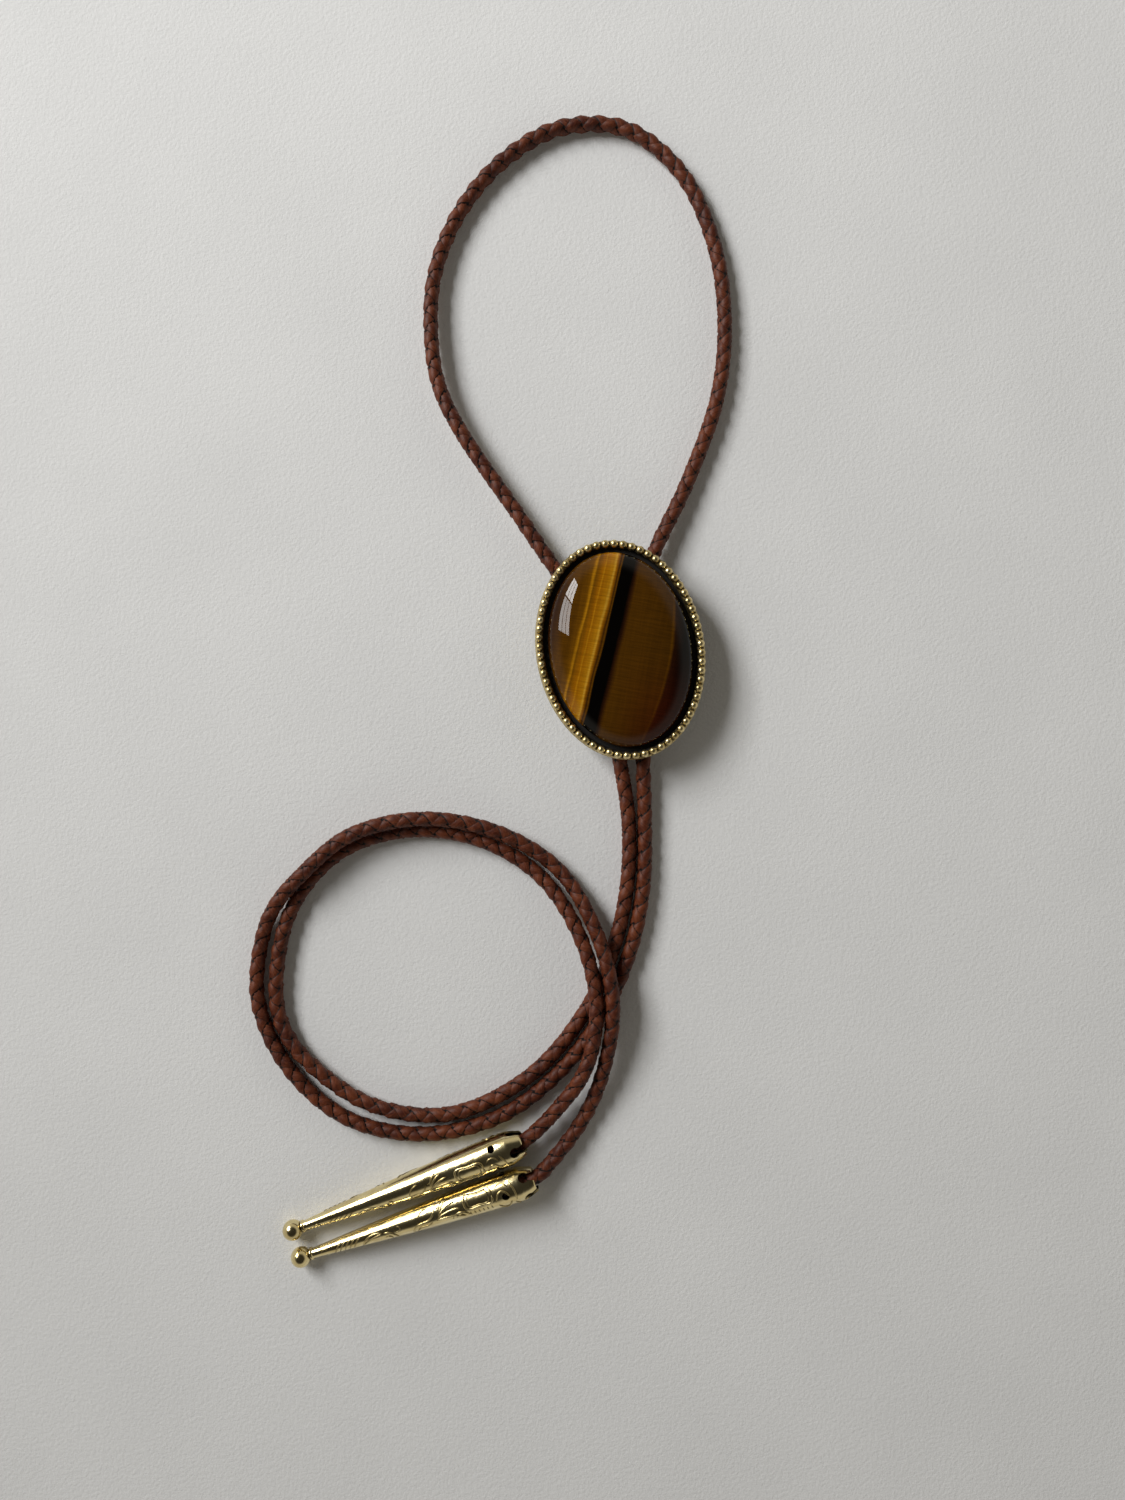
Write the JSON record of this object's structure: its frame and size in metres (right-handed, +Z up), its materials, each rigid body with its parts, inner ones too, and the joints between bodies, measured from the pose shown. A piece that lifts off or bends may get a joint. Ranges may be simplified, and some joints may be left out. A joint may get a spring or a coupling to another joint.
{
  "type": "bolo tie",
  "caption": "Braided leather cord necktie with an oval domed stone slide in a beaded metal setting and two tapered metal cord tips, laid on a surface.",
  "frame": {"origin": "middle of the clasp's flat back, straight below the slide's centre, on the surface the tie lies on", "axes": "+Z up from the surface, +Y from the slide to the top of the neck loop, +X to the right as the stone is looked at from above"},
  "size_m": [0.1003, 0.2392, 0.0122],
  "materials": {
    "setting_metal": "gold-tone casting, satin with polished bead tops and blackened recesses",
    "stone": "polished banded tiger's eye, golden brown with dark bands",
    "clasp_metal": "gold-tone, brushed",
    "braided_leather": "reddish brown four-strand round braid, low sheen",
    "tip_metal": "polished pale gold-tone plating with stamped scrolls"
  },
  "bodies": {
    "root": {"slide_setting": "setting_metal", "stone_cabochon": "stone", "cord_clasp": "clasp_metal", "cord_left_tail": "braided_leather", "cord_neck_loop": "braided_leather", "cord_right_tail": "braided_leather", "tip_upper": "tip_metal", "tip_lower": "tip_metal"}
  },
  "joints": []
}
